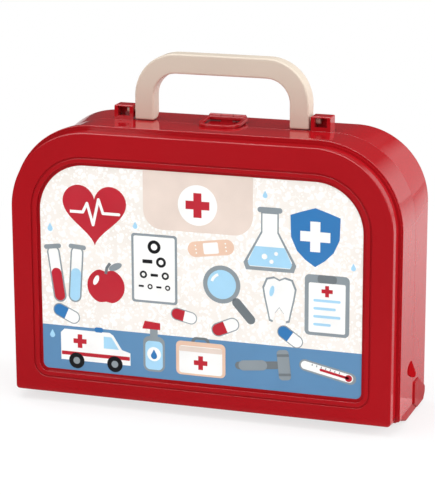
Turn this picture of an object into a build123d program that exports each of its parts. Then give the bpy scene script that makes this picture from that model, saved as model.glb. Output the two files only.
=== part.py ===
"""Toy doctor case with a hinged front lid, a rocking handle, a top latch and its play instruments.

Millimetres, +Z up, +X to the right and -Y towards the viewer of the lid. The origin is on the
ground under the centre of the case.
"""
from build123d import *
import math
import os

# Case body -----------------------------------------------------------------------------------
case_depth = 100.0          # front of the lid to the back of the rear shell
lid_half_width = 160.0      # half the width of the lid
lid_height = 219.9
lid_top_radius = 65.5
lid_bottom_radius = 3.0
lid_depth = 13.6            # front of the lid to its rear edge
lid_wall = 2.2
lid_draft = 1.2             # each side widens by this much towards the rear edge
lid_edge_radius = 0.9       # rounding of the front edge
lid_heel_radius = 3.0       # rounding of the rear bottom edge, which swings past the body
foot_height = 8.6           # ground to the underside of the body and of the lid

rim_step_side = 4.2         # rim of the body beyond the lid, at the sides
rim_step_top = 3.6          # and along the top
rim_depth = 5.5             # rim band, front to back
rim_round = 0.5
wall_inset_side = 1.3       # body wall inside the rim, at the sides
wall_inset_top = 2.9        # and along the top
body_wall = 2.4
body_radius_front = 67.5    # top corners of the body at the rim
body_radius_back = 59.5     # and at the rear face
body_bottom_radius = 2.0
seam_swell = 0.3            # both half shells grow by this much towards their seam
frame_depth = 45.0          # front of the rim to the seam between the two half shells
sill_height = 5.0           # ledge behind the bottom edge of the lid, above the inner floor
seam_bevel = 0.2
rear_swell = 0.7            # the sides of the rear shell also widen towards its rear face
rear_edge_radius = 1.6
lap_length = 4.0            # tongue of the rear shell inside the front frame
lap_wall = 1.4
lap_start = 20.0            # floor of the case to the lower ends of the tongue
fit_clearance = 0.15        # between parts that are pushed together
swing_clearance = 0.4       # between the lid and the body it closes on
seat_clearance = 0.2        # under a loose piece that stands on a floor

# Lid details ---------------------------------------------------------------------------------
lip_side = 3.2              # flange at the rear edge of the lid, beyond its front edge at the sides
lip_top = 1.8               # and along the top
lip_depth = 2.0
label_half_width = 135.5
label_bottom_margin = 20.2  # lid bottom to label bottom
label_top_margin = 27.0     # label top to lid top
label_top_radius = 39.5
label_bottom_radius = 5.0
label_thickness = 0.4
label_recess = 2.4          # lid face to the seat of the label
seat_margin = 2.6           # seat beyond the label, all round
bead_width = 3.6            # raised bead round the seat
moat_width = 1.3            # shallow groove outside the bead
moat_depth = 0.9
bead_round = 0.4            # edges of the bead, the groove and the seat

# Lid hinge -----------------------------------------------------------------------------------
hinge_setback = 9.5         # lid front to hinge axis
hinge_rise = 3.6            # lid bottom to hinge axis
hinge_pin_radius = 1.5
hinge_pin_length = 9.0
hinge_pin_inset = 0.3       # side of the lid to the end of the pin
running_clearance = 0.05    # radial, round every pin
ear_radius = 3.4
ear_width = 7.0
ear_floor = 1.0             # closed end of the bore in the ear

# Handle --------------------------------------------------------------------------------------
handle_half_width = 74.2
handle_bar = 16.3           # width of the legs and of the grip, seen from the front
handle_thickness = 14.3
handle_rise = 56.6          # body top to the top of the grip
handle_corner_radius = 36.0
handle_edge_radius = 1.6
handle_foot_gap = 0.9       # body top to the underside of the feet
handle_pivot_rise = 8.0     # body top to the pivot axis
handle_foot_radius = 6.4    # rear bottom edge of the feet, which turns past the body as it folds back
handle_setback = 0.5        # seam to the front faces of the handle and its brackets
handle_pin_radius = 2.8
handle_pin_length = 8.2
bracket_gap = 1.6           # leg to bracket
bracket_width = 16.3
bracket_height = 12.2       # above the body top
bracket_depth = 13.0
bracket_round = 1.0
pocket_width = 10.2
pocket_rise = 3.4           # body top to the floor of the pocket
pocket_height = 7.6
pocket_depth = 8.5

# Latch ---------------------------------------------------------------------------------------
latch_half_width = 18.0
latch_length = 30.5         # front edge to barrel axis
latch_setback = 19.0        # seam to barrel axis
latch_axis_rise = 3.6       # body top to the barrel axis
latch_barrel_radius = 2.8
latch_barrel_half = 15.8
latch_knuckle_half = 5.0
latch_pin_radius = 1.2
latch_pin_inset = 1.0       # end of the barrel to the end of the pin
latch_thickness = 2.2       # of the loop
latch_bar = 3.6             # width of the loop's arms and of its front bar
latch_corner = 12.0         # front corners of the loop
latch_heel_corner = 3.0     # and its rear corners
latch_round = 0.7
latch_lift = 0.3            # loop underside above the body top, at its front edge

# Feet ----------------------------------------------------------------------------------------
foot_width = 15.0           # rail, inwards from the side of the body
foot_inset = 0.1            # side of the body to the outer face of the rail
foot_front = 4.0            # rim to the toe of the rail
foot_knee = 17.0            # toe to the knee of the rail's slanting front
foot_knee_height = 2.8
foot_slope = 26.0           # toe to the flat underside
foot_back = 0.6             # rear face to the rear ends of the rail and the post
foot_end_radius = 8.0       # rear bottom corner
foot_round = 2.2            # outer lower edge of the rail
post_reach = 1.6            # corner post beyond the body side
post_depth = 3.0            # how far it reaches into the body side
post_length = 37.0
post_height = 27.5
post_crest = 23.0           # rear end of the post to the rear end of its level top
post_shoulder = 14.0        # height at which its sloping top meets the rear
post_sole = 2.4             # height of its lower edge, outside the rail
post_slant = 12.0           # seen from the side, its front slants back by this much below the body
post_corner = 3.0
post_round = 1.4

# Instruments ---------------------------------------------------------------------------------
row_gap = 1.0               # front row of instruments to the sill
phone_size = (40.0, 9.0, 80.0)
screen_margin = 4.0
inlay_depth = 0.8           # screens, windows and keys below their face
key_radius = 4.0
bag_size = (60.0, 12.0, 92.0)
bag_corner = 9.0
hanger_slot = (16.0, 5.0)
thermometer_size = (13.0, 6.0, 88.0)
hammer_head_radius = 7.5
hammer_head_length = 42.0
hammer_handle_radius = 3.6
hammer_handle_length = 84.0
hammer_chamfer = 1.2
otoscope_handle_radius = 7.5
otoscope_handle_length = 66.0
cone_wide = 9.0
cone_narrow = 2.2
cone_length = 26.0
tube_radius = 2.6
tube_bend = 8.0
headset_half = 22.0
headset_height = 104.0
ear_tip_radius = 4.4
chestpiece_radius = 17.0
chestpiece_thickness = 8.0
scissors_rise = 48.0        # floor to rivet
blade_length = 47.0
blade_thickness = 3.0
blade_gap = 0.3
ring_radius = 12.0
ring_hole = 8.0
rivet_radius = 2.0
rivet_head_radius = 3.6
rivet_head = 1.2
scissors_swing = 14.0       # room for a finger ring when the scissors are opened
syringe_radius = 8.0
syringe_wall = 1.4
syringe_length = 56.0
syringe_grip = 3.0          # finger flange beyond the barrel
syringe_travel = 28.0
piston_length = 8.0
plunger_reach = 8.0         # plunger behind the barrel when pushed home
nozzle_radius = 2.2
nozzle_length = 6.0
needle_hub_radius = 3.2
needle_hub_length = 11.0
needle_radius = 0.8
needle_length = 15.0
jar_radius = 17.0
jar_height = 34.0
jar_wall = 1.6
cap_radius = 18.0
cap_height = 9.0
lens_radius = 14.0
lens_spacing = 38.0
glasses_bar = 2.6
temple_drop = 3.0           # folded temples below the middle of the lenses
glasses_room = 150.0        # floor left free beside the glasses
glasses_setback = 9.0       # front of the glasses to the seam
bandage_size = (54.0, 24.0, 15.0)
bandage_round = 5.0
plaster_size = (58.0, 18.0, 1.2)
plaster_round = 8.0
plaster_count = 4
cuff_radius = 21.0
cuff_thickness = 2.4
cuff_width = 32.0
gauge_radius = 11.0
gauge_thickness = 5.0
bulb_radius = 12.0
bulb_length = 34.0
bulb_flat = 1.5
bulb_spout_radius = 3.0
bulb_spout_length = 7.0

# Derived places ------------------------------------------------------------------------------
front_y = -case_depth / 2
back_y = case_depth / 2
lid_back_y = front_y + lid_depth
rim_y = lid_back_y + swing_clearance
seam_y = rim_y + frame_depth
body_bottom = foot_height
lid_bottom = body_bottom
lid_top = lid_bottom + lid_height
rim_top = lid_top + rim_step_top
rim_half = lid_half_width + rim_step_side
wall_half = rim_half - wall_inset_side
wall_top = rim_top - wall_inset_top
hinge_y = front_y + hinge_setback
hinge_z = lid_bottom + hinge_rise
hinge_side = lid_half_width + lid_draft * hinge_setback / lid_depth
ear_outer = lid_half_width - lid_wall - swing_clearance
ear_inner = ear_outer - ear_width
inner_floor = body_bottom + body_wall
inner_back = back_y - body_wall
inner_half = wall_half - body_wall
handle_front_y = seam_y + handle_setback
handle_axis_y = handle_front_y + handle_thickness / 2
handle_axis_z = wall_top + handle_pivot_rise
latch_axis_y = seam_y + latch_setback
latch_axis_z = wall_top + latch_axis_rise
label_bottom = lid_bottom + label_bottom_margin
label_top = lid_top - label_top_margin

# An outline is (half width, bottom, top, radius of the top corners, radius of the bottom corners).
lid_outline = (lid_half_width, lid_bottom, lid_top, lid_top_radius, lid_bottom_radius)
lid_back_outline = (lid_half_width + lid_draft, lid_bottom, lid_top, lid_top_radius, lid_bottom_radius)
rim_outline = (rim_half, body_bottom, rim_top, body_radius_front + wall_inset_side, body_bottom_radius)
front_outline = (wall_half, body_bottom, wall_top, body_radius_front, body_bottom_radius)
back_outline = (wall_half + rear_swell, body_bottom, wall_top + seam_swell, body_radius_back,
                body_bottom_radius)
label_outline = (label_half_width, label_bottom, label_top, label_top_radius, label_bottom_radius)


def grown(outline, distance):
    """The outline moved outwards by a distance, or inwards where it is negative."""
    half, bottom, top, top_radius, bottom_radius = outline
    corner = max(bottom_radius + distance, 0.8)
    return half + distance, bottom - distance, top + distance, top_radius + distance, corner


def profile(outline, y):
    """The outline as a face across the case at depth y."""
    half, bottom, top, top_radius, bottom_radius = outline
    sketch = Pos(0, (bottom + top) / 2) * Rectangle(2 * half, top - bottom)
    sketch = fillet(sketch.vertices().sort_by(Axis.Y)[2:], top_radius)
    sketch = fillet(sketch.vertices().sort_by(Axis.Y)[:2], bottom_radius)
    return Plane(origin=(0, y, 0), x_dir=(1, 0, 0), z_dir=(0, -1, 0)) * sketch


def slab(outline, y_start, y_end):
    return extrude(profile(outline, y_start), amount=y_start - y_end)


def skin(start, y_start, end, y_end):
    """A solid between two outlines."""
    return loft([profile(start, y_start), profile(end, y_end)])


def block(x, y, z):
    """A box from three (low, high) pairs."""
    size = [high - low for low, high in (x, y, z)]
    middle = [(high + low) / 2 for low, high in (x, y, z)]
    return Pos(*middle) * Box(*size)


def rod_x(radius, x_start, x_end, y, z):
    return Pos((x_start + x_end) / 2, y, z) * Rot(0, 90, 0) * Cylinder(radius, abs(x_end - x_start))


def rod_y(radius, y_start, y_end, x, z):
    return Pos(x, (y_start + y_end) / 2, z) * Rot(90, 0, 0) * Cylinder(radius, abs(y_end - y_start))


def edges_at_y(shape, y):
    return shape.edges().filter_by_position(Axis.Y, y - 0.01, y + 0.01)


# Shells --------------------------------------------------------------------------------------
def frame_solid(distance=0.0, bevel=0.0):
    """The outside of the front half shell, moved outwards by a distance, with a bevel at the seam."""
    start, seam = grown(front_outline, distance), grown(front_outline, seam_swell + distance)
    if bevel == 0:
        return skin(start, rim_y, seam, seam_y)
    return skin(start, rim_y, seam, seam_y - bevel) + skin(seam, seam_y - bevel, grown(seam, -bevel), seam_y)


def rear_solid(distance=0.0, bevel=0.0):
    """The outside of the rear half shell, moved outwards by a distance, with a bevel at the seam."""
    seam, end = grown(front_outline, seam_swell + distance), grown(back_outline, distance)
    if bevel == 0:
        return skin(seam, seam_y, end, back_y + distance)
    shell = skin(seam, seam_y + bevel, end, back_y)
    shell = fillet(edges_at_y(shell, back_y), rear_edge_radius)
    return shell + skin(grown(seam, -bevel), seam_y, seam, seam_y + bevel)


def make_body_frame():
    """Front half shell: a ring with a rim that the lid closes on, a sill and two hinge ears."""
    rim = slab(rim_outline, rim_y, rim_y + rim_depth)
    rim = fillet(edges_at_y(rim, rim_y), rim_round)
    frame = frame_solid(bevel=seam_bevel) + rim - frame_solid(-body_wall)
    frame += block((-wall_half + body_wall / 2, wall_half - body_wall / 2), (rim_y, rim_y + body_wall),
                   (body_bottom + body_wall / 2, inner_floor + sill_height))
    for side in (-1, 1):
        frame += hinge_ear(side)
    for side in (-1, 1):
        frame -= hinge_bore(side)
    return frame


def hinge_bore(side):
    x = sorted((side * (ear_inner + ear_floor), side * (hinge_side + 1)))
    return rod_x(hinge_pin_radius + running_clearance, x[0], x[1], hinge_y, hinge_z)


def hinge_ear(side):
    """The ear reaches from the sill into a notch of the lid and carries a hinge pin."""
    x = sorted((side * ear_inner, side * ear_outer))
    ear = rod_x(ear_radius, x[0], x[1], hinge_y, hinge_z)
    return ear + block(x, (hinge_y, rim_y + body_wall / 2), (hinge_z - ear_radius, hinge_z + ear_radius))


def make_rear_shell():
    """Rear half shell with the back wall, the handle brackets and the latch knuckle."""
    rear = rear_solid(bevel=seam_bevel)
    rear -= rear_solid(-body_wall)
    rear += lap_tongue()
    for side in (-1, 1):
        rear += handle_bracket(side)
    return rear + latch_knuckle()


def lap_tongue():
    """A tongue along the sides and top that locates the rear shell inside the frame."""
    start = grown(front_outline, seam_swell - body_wall)
    ring = slab(grown(start, -fit_clearance), seam_y - lap_length, seam_y)
    ring += slab(grown(start, body_wall / 2), seam_y, seam_y + lap_wall)
    ring -= slab(grown(start, -fit_clearance - lap_wall), seam_y - lap_length, seam_y + lap_wall)
    y = (seam_y - lap_length, seam_y + lap_wall)
    return ring - block((-rim_half, rim_half), y, (0, inner_floor + lap_start))


def handle_bracket(side):
    """A block beside each leg, with a pocket in its front and a bore for the handle pin."""
    inner = handle_half_width + bracket_gap
    x = sorted((side * inner, side * (inner + bracket_width)))
    y = (handle_front_y, handle_front_y + bracket_depth)
    top = wall_top + bracket_height
    bracket = block(x, y, (wall_top - body_wall / 2, top))
    bracket = fillet(bracket.edges().filter_by_position(Axis.Z, top - 0.01, top + 0.01), bracket_round)
    middle = (x[0] + x[1]) / 2
    pocket_x = (middle - pocket_width / 2, middle + pocket_width / 2)
    pocket_z = (wall_top + pocket_rise, wall_top + pocket_rise + pocket_height)
    bracket -= block(pocket_x, (y[0] - 1, y[0] + pocket_depth), pocket_z)
    bore = handle_pin_radius + running_clearance
    return bracket - rod_x(bore, side * (inner - 1), middle, handle_axis_y, handle_axis_z)


def latch_knuckle():
    """Upright on the rear shell that carries the middle of the latch pin."""
    x = (-latch_knuckle_half, latch_knuckle_half)
    knuckle = rod_x(latch_barrel_radius, x[0], x[1], latch_axis_y, latch_axis_z)
    width = (latch_axis_y - latch_barrel_radius, latch_axis_y + latch_barrel_radius)
    knuckle += block(x, width, (wall_top - body_wall / 2, latch_axis_z))
    bore = latch_pin_radius + running_clearance
    return knuckle - rod_x(bore, x[0] - 1, x[1] + 1, latch_axis_y, latch_axis_z)


# Lid -----------------------------------------------------------------------------------------
def make_lid():
    """Shallow front shell with a flange, a beaded label seat and two notches for the hinge ears."""
    lid = skin(lid_outline, front_y, lid_back_outline, lid_back_y)
    lid = fillet(edges_at_y(lid, front_y), lid_edge_radius)
    lid += lid_flange()
    panel_back = front_y + label_recess + lid_wall
    lid -= slab(grown(lid_outline, -lid_wall), panel_back, lid_back_y + 1)
    lid -= slab(grown(label_outline, seat_margin), front_y - 1, front_y + label_recess)
    bead = grown(label_outline, seat_margin + bead_width)
    border = grown(bead, moat_width)
    moat = slab(border, front_y - 1, front_y + moat_depth)
    lid -= moat - slab(bead, front_y - 2, front_y + moat_depth + 1)
    lid = fillet([edge for edge in edges_at_y(lid, front_y) if is_inside(edge, border)], bead_round)
    for side in (-1, 1):
        x = sorted((side * (ear_inner - swing_clearance), side * (lid_half_width - lid_wall)))
        lid -= block(x, (panel_back, lid_back_y + 1), (lid_bottom - 1, lid_bottom + 2 * lid_wall))
        lid -= hinge_bore(side)
    return lid - heel_room()


def heel_room():
    """Everything behind and below the rounded heel of the lid, which turns past the body."""
    y = (lid_back_y - lid_heel_radius, lid_back_y + 1)
    z = (lid_bottom - 1, lid_bottom + lid_heel_radius)
    round_part = rod_x(lid_heel_radius, -rim_half, rim_half, y[0], z[1])
    return block((-rim_half, rim_half), y, z) - round_part


def is_inside(edge, outline):
    """Whether an edge lies within an outline, seen from the front."""
    half, bottom, top = outline[:3]
    box = edge.bounding_box()
    return max(-box.min.X, box.max.X) < half + 0.1 and box.min.Z > bottom - 0.1 and box.max.Z < top + 0.1


def lid_flange():
    """Flange along the sides and top."""
    y = (lid_back_y - lip_depth, lid_back_y)
    outline = (lid_half_width + lip_side, lid_bottom, lid_top + lip_top,
               lid_top_radius + lip_top, lid_bottom_radius)
    return slab(outline, *y) - slab(grown(lid_outline, -lid_wall / 2), y[0] - 1, y[1] + 1)


def make_label():
    start = front_y + label_recess - label_thickness
    return slab(label_outline, start, front_y + label_recess)


def make_hinge_pin(side):
    end = hinge_side - hinge_pin_inset
    x = sorted((side * (end - hinge_pin_length), side * end))
    return rod_x(hinge_pin_radius, x[0], x[1], hinge_y, hinge_z)


# Handle and latch ----------------------------------------------------------------------------
def make_handle():
    """U-shaped handle with square feet and a pin moulded on the outside of each leg."""
    top = wall_top + handle_rise
    foot = wall_top + handle_foot_gap
    middle = (foot + top) / 2
    sketch = Pos(0, middle) * Rectangle(2 * handle_half_width, top - foot)
    sketch = fillet(sketch.vertices().sort_by(Axis.Y)[2:], handle_corner_radius)
    gap_top = top - handle_bar
    gap = Pos(0, (foot + gap_top) / 2) * Rectangle(2 * (handle_half_width - handle_bar), gap_top - foot)
    gap = fillet(gap.vertices().sort_by(Axis.Y)[2:], handle_corner_radius - handle_bar)
    plane = Plane(origin=(0, handle_front_y, 0), x_dir=(1, 0, 0), z_dir=(0, -1, 0))
    handle = extrude(plane * (sketch - gap), amount=-handle_thickness)
    y = (handle_front_y, handle_front_y + handle_thickness)
    sole = edges_at_y(handle, y[1]).filter_by_position(Axis.Z, foot - 0.01, foot + 0.01)
    handle = fillet(sole, handle_foot_radius)
    handle = fillet(edges_at_y(handle, y[0]) + edges_at_y(handle, y[1]), handle_edge_radius)
    for side in (-1, 1):
        ends = (side * (handle_half_width - 1), side * (handle_half_width + handle_pin_length))
        handle += rod_x(handle_pin_radius, min(ends), max(ends), handle_axis_y, handle_axis_z)
    return handle


def make_latch():
    """Loop that swings on the rear barrel; its front bar rests just above the body."""
    inner_half = latch_half_width - latch_bar
    middle = Pos(0, latch_length / 2)
    loop = rounded_plate(latch_half_width, latch_length, latch_corner, latch_heel_corner)
    hole = rounded_plate(inner_half, latch_length - 2 * latch_bar, latch_corner - latch_bar, latch_round)
    loop = extrude(middle * (loop - hole), amount=latch_thickness)
    loop = fillet(loop.edges().group_by(Axis.Z)[-1], latch_round)
    rise = latch_axis_rise - latch_lift - latch_thickness / 2
    slope = math.degrees(math.atan2(rise, latch_length))
    latch = Pos(0, latch_axis_y - latch_length, wall_top + latch_lift) * Rot(slope, 0, 0) * loop
    barrel = rod_x(latch_barrel_radius, -latch_barrel_half, latch_barrel_half, latch_axis_y, latch_axis_z)
    latch += chamfer(barrel.edges(), latch_round)
    knuckle = latch_knuckle_half + swing_clearance
    room = latch_barrel_radius + swing_clearance
    latch -= block((-knuckle, knuckle), (latch_axis_y - room, latch_axis_y + room + latch_corner),
                   (wall_top, latch_axis_z + room))
    bore = latch_pin_radius + running_clearance
    return latch - rod_x(bore, -latch_half_width, latch_half_width, latch_axis_y, latch_axis_z)


def rounded_plate(half_width, length, front_radius, back_radius):
    """A centred rectangle with different corners at its front, towards -Y, and at its back."""
    plate = Rectangle(2 * half_width, length)
    plate = fillet(plate.vertices().sort_by(Axis.Y)[:2], front_radius)
    return fillet(plate.vertices().sort_by(Axis.Y)[-2:], back_radius)


def make_latch_pin():
    half = latch_barrel_half - latch_pin_inset
    return rod_x(latch_pin_radius, -half, half, latch_axis_y, latch_axis_z)


# Feet ----------------------------------------------------------------------------------------
def make_foot(side):
    """Rail under one side of the body, with a slanting toe and a corner post at its rear end."""
    toe = rim_y + foot_front
    heel = back_y - foot_back
    top = body_bottom + body_bottom_radius
    rail = make_face(Polyline((toe, top), (toe, body_bottom), (toe + foot_knee, foot_knee_height),
                              (toe + foot_slope, 0), (heel, 0), (heel, top), close=True))
    rail = fillet(rail.vertices().sort_by_distance((heel, 0, 0))[:1], foot_end_radius)
    outer = wall_half - foot_inset
    rail = side_plate(rail, side, outer - foot_width, outer)
    lower = edges_at_x(rail, side * outer).filter_by(lambda edge: edge.center().Z < foot_end_radius / 2)
    rail = fillet(lower, foot_round)
    start = heel - post_length
    post = make_face(Polyline((start, body_bottom), (start, post_height), (heel - post_crest, post_height),
                              (heel, post_shoulder), (heel, foot_end_radius),
                              (heel - foot_end_radius + post_sole, post_sole),
                              (start + post_slant, post_sole), close=True))
    post = fillet(post.vertices().sort_by(Axis.Y)[-3:], post_corner)
    face = wall_half + post_reach
    post = side_plate(post, side, wall_half - post_depth, face)
    post = fillet(edges_at_x(post, side * face), post_round)
    foot = rail + post - slab(rim_outline, rim_y, rim_y + rim_depth)
    return foot - frame_solid(bevel=seam_bevel) - rear_solid(bevel=seam_bevel)


def side_plate(sketch, side, inner, outer):
    """A side view, drawn as (Y, Z), thickened between two distances from the middle of the case."""
    return Pos(min(side * inner, side * outer), 0, 0) * extrude(Plane.YZ * sketch, amount=outer - inner)


def edges_at_x(shape, x):
    return shape.edges().filter_by_position(Axis.X, x - 0.01, x + 0.01)


# Instruments ---------------------------------------------------------------------------------
# Each instrument is made standing on Z = 0 or above it, and is then laid in a row.
def extent(pieces):
    return Compound(list(pieces.values())).bounding_box()


def lay_row(groups, front=None, back=None):
    """Set groups of pieces on the floor with equal gaps from wall to wall, up to a line in Y.

    Each group comes with the room that its moving piece needs on its right.
    """
    boxes = [extent(pieces) for pieces, _ in groups]
    widths = [box.size.X + room for box, (_, room) in zip(boxes, groups)]
    gap = (2 * inner_half - sum(widths)) / (len(groups) + 1)
    cursor = gap - inner_half
    placed = {}
    for (pieces, _), box, width in zip(groups, boxes, widths):
        y = front - box.min.Y if back is None else back - box.max.Y
        move = Pos(cursor - box.min.X, y, inner_floor + seat_clearance - box.min.Z)
        placed.update({name: move * shape for name, shape in pieces.items()})
        cursor += width + gap
    return placed


def upright(sketch, thickness):
    """A flat sketch stood up in the XZ plane, centred on Y = 0."""
    plane = Plane(origin=(0, 0, 0), x_dir=(1, 0, 0), z_dir=(0, -1, 0))
    return extrude(plane * sketch, amount=thickness / 2, both=True)


def card(size, corner):
    width, thickness, height = size
    sketch = Pos(0, height / 2) * Rectangle(width, height)
    return upright(fillet(sketch.vertices(), corner), thickness)


def make_phone():
    width, thickness, height = phone_size
    face = -thickness / 2
    phone = card(phone_size, screen_margin)
    half = width / 2 - screen_margin
    key_z = screen_margin + key_radius
    phone -= block((-half, half), (face - 1, face + inlay_depth),
                   (key_z + key_radius + screen_margin, height - screen_margin))
    return {"toy_phone": phone - rod_y(key_radius, face - 1, face + inlay_depth, 0, key_z)}


def make_drip_bag():
    width, thickness, height = bag_size
    slot_width, slot_height = hanger_slot
    bag = card(bag_size, bag_corner)
    slot = Pos(0, height - bag_corner) * SlotOverall(slot_width, slot_height)
    return {"drip_bag": bag - upright(slot, thickness + 2)}


def make_thermometer():
    width, thickness, height = thermometer_size
    face = -thickness / 2
    half = width / 2 - screen_margin / 2
    window = block((-half, half), (face - 1, face + inlay_depth), (height / 2, height - screen_margin))
    return {"thermometer": card(thermometer_size, width / 2 - 1) - window}


def make_hammer():
    half = hammer_head_length / 2
    head = chamfer(rod_x(hammer_head_radius, -half, half, 0, hammer_head_radius).edges(), hammer_chamfer)
    bottom = hammer_head_radius
    middle = Pos(0, 0, bottom + hammer_handle_length / 2)
    handle = middle * Cylinder(hammer_handle_radius, hammer_handle_length)
    handle = fillet(handle.edges().group_by(Axis.Z)[-1], hammer_handle_radius / 2)
    bore = middle * Cylinder(hammer_handle_radius + running_clearance, hammer_handle_length)
    return {"hammer_head": head - bore, "hammer_handle": handle}


def make_otoscope():
    handle = Pos(0, 0, otoscope_handle_length / 2) * Cylinder(otoscope_handle_radius, otoscope_handle_length)
    top = otoscope_handle_length - otoscope_handle_radius / 2
    head = Pos(0, 0, top + cone_wide) * Rot(90, 0, 0) * Cone(cone_wide, cone_narrow, cone_length)
    handle -= Pos(0, 0, top + cone_wide) * Rot(90, 0, 0) * Cone(
        cone_wide + fit_clearance, cone_narrow + fit_clearance, cone_length)
    return {"otoscope_handle": handle, "otoscope_head": head}


def make_stethoscope():
    """Stiff headset with ear tips, and the chestpiece that its stem ends in."""
    yoke = 2 * chestpiece_radius + 2 * tube_bend
    shoulder = headset_height - 1.5 * tube_bend
    elbow = yoke + headset_half
    side = [(headset_half / 2, headset_height), (headset_half, shoulder), (headset_half, elbow)]
    points = [(-x, 0, z) for x, z in side] + [(0, 0, yoke)] + [(x, 0, z) for x, z in side[::-1]]
    path = FilletPolyline(*points, radius=tube_bend)
    section = Plane(origin=path @ 0, z_dir=path % 0) * Circle(tube_radius)
    headset = sweep(section, path=path)
    stem = Pos(0, 0, (yoke + chestpiece_radius) / 2) * Cylinder(tube_radius, yoke - chestpiece_radius + 2)
    headset += stem
    for end in (path @ 0, path @ 1):
        headset += Pos(*end) * Sphere(ear_tip_radius)
    half = chestpiece_thickness / 2
    disc = rod_y(chestpiece_radius, -half, half, 0, chestpiece_radius)
    socket = rod_y(chestpiece_radius + fit_clearance, -half - 1, half + 1, 0, chestpiece_radius)
    return {"stethoscope_headset": headset - socket,
            "stethoscope_chestpiece": fillet(disc.edges(), half / 3)}


def make_scissors():
    """Two flat halves that turn on a rivet, standing closed on their finger rings."""
    pieces = {}
    ring_z = ring_radius - scissors_rise
    for name, side, layer in (("scissor_blade_front", 1, -1), ("scissor_blade_back", -1, 1)):
        hub = rivet_radius * 2.4
        blade = make_face(Polyline((-side * hub, 0), (side * hub / 2, 0), (0, blade_length),
                                   (-side * hub, 2 * hub), close=True))
        arm = make_face(Polyline((-side * hub, hub / 2), (side * hub, hub / 2),
                                 (side * ring_radius, ring_z + ring_radius - rivet_radius),
                                 (side * ring_radius / 4, ring_z + ring_hole / 2), close=True))
        eye = Pos(side * (ring_radius + 1), ring_z)
        half = blade + arm + Circle(hub) + eye * Circle(ring_radius) - eye * Circle(ring_hole)
        half -= Circle(rivet_radius + running_clearance)
        y = layer * (blade_thickness + blade_gap) / 2
        pieces[name] = Pos(0, y, scissors_rise) * upright(half, blade_thickness)
    reach = blade_thickness + blade_gap / 2
    rivet = rod_y(rivet_radius, -reach - blade_gap - rivet_head / 2, reach, 0, scissors_rise)
    head = rod_y(rivet_head_radius, -reach - blade_gap - rivet_head, -reach - blade_gap, 0, scissors_rise)
    pieces["scissor_rivet"] = rivet + head
    return pieces


def make_syringe():
    """Barrel lying on the floor with its plunger pushed home and the needle on the nozzle."""
    z = syringe_radius
    end = syringe_length
    bore = syringe_radius - syringe_wall
    barrel = rod_x(syringe_radius, 0, end, 0, z)
    reach = syringe_radius + syringe_grip
    barrel += block((end - syringe_wall, end), (-reach, reach), (0, 2 * syringe_radius))
    barrel -= rod_x(bore, syringe_wall, end + 1, 0, z)
    barrel += rod_x(nozzle_radius, -nozzle_length, syringe_wall / 2, 0, z)
    home = syringe_wall + fit_clearance
    plunger = rod_x(bore - running_clearance, home, home + piston_length, 0, z)
    plunger += rod_x(bore / 2, home, end + plunger_reach, 0, z)
    rest = end + plunger_reach
    plunger += rod_x(syringe_radius - fit_clearance, rest, rest + syringe_wall, 0, z)
    hub_end = -fit_clearance
    hub_start = hub_end - needle_hub_length
    needle = rod_x(needle_hub_radius, hub_start, hub_end, 0, z)
    needle -= rod_x(nozzle_radius + running_clearance, -nozzle_length - fit_clearance, 1, 0, z)
    needle += rod_x(needle_radius, hub_start - needle_length, hub_start + 1, 0, z)
    return {"syringe_barrel": barrel, "syringe_plunger": plunger, "needle": needle}


def make_jar():
    jar = Pos(0, 0, jar_height / 2) * Cylinder(jar_radius, jar_height)
    jar -= Pos(0, 0, jar_wall + jar_height / 2) * Cylinder(jar_radius - jar_wall, jar_height)
    cap = Pos(0, 0, jar_height + seat_clearance + cap_height / 2) * Cylinder(cap_radius, cap_height)
    return {"medicine_jar": jar, "medicine_jar_cap": chamfer(cap.edges().group_by(Axis.Z)[-1], 1)}


def make_glasses():
    """Spectacles with their temples folded flat behind the lenses."""
    outer = lens_radius + glasses_bar
    front = Pos(0, lens_radius / 4) * Rectangle(lens_spacing - 2 * lens_radius + 1, glasses_bar)
    for side in (-1, 1):
        front += Pos(side * lens_spacing / 2, 0) * Circle(outer)
    for side in (-1, 1):
        front -= Pos(side * lens_spacing / 2, 0) * Circle(lens_radius)
    glasses = upright(front, glasses_bar)
    half = lens_spacing / 2 + outer
    y = (glasses_bar / 2, 1.5 * glasses_bar)
    for side in (-1, 1):
        x = sorted((side * (half - glasses_bar / 2), side * half / 3))
        glasses += block(x, (y[1], y[1] + glasses_bar / 2), (-temple_drop - glasses_bar, -temple_drop))
        x = sorted((side * (half - glasses_bar), side * (half - glasses_bar / 4)))
        glasses += block(x, (-glasses_bar / 2, y[1] + glasses_bar / 2),
                         (-temple_drop - glasses_bar, -temple_drop))
    return {"glasses": glasses}


def make_bandage():
    """A folded bandage in front of a stack of plaster strips."""
    width, depth, height = bandage_size
    bandage = fillet(Box(*bandage_size).edges().filter_by(Axis.X), bandage_round)
    strip_width, strip_depth, strip_height = plaster_size
    strip = fillet(Box(*plaster_size).edges().filter_by(Axis.Z), plaster_round)
    y = (depth + strip_depth) / 2 + row_gap
    step = strip_height + seat_clearance
    strips = Part() + [Pos(0, y, strip_height / 2 + i * step) * strip for i in range(plaster_count)]
    return {"cloth_bandage": Pos(0, 0, height / 2) * bandage, "plaster_strips": strips}


def make_cuff():
    """Band of the pressure cuff rolled into a ring, with its gauge."""
    z = cuff_width / 2
    band = Pos(0, 0, z) * (Cylinder(cuff_radius, cuff_width)
                           - Cylinder(cuff_radius - cuff_thickness, cuff_width))
    y = -cuff_radius - gauge_thickness + 1
    gauge = rod_y(gauge_radius, y, -cuff_radius / 2, 0, z)
    gauge -= Pos(0, 0, z) * Cylinder(cuff_radius + fit_clearance, cuff_width)
    return {"cuff_band": band, "cuff_gauge": gauge}


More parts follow.
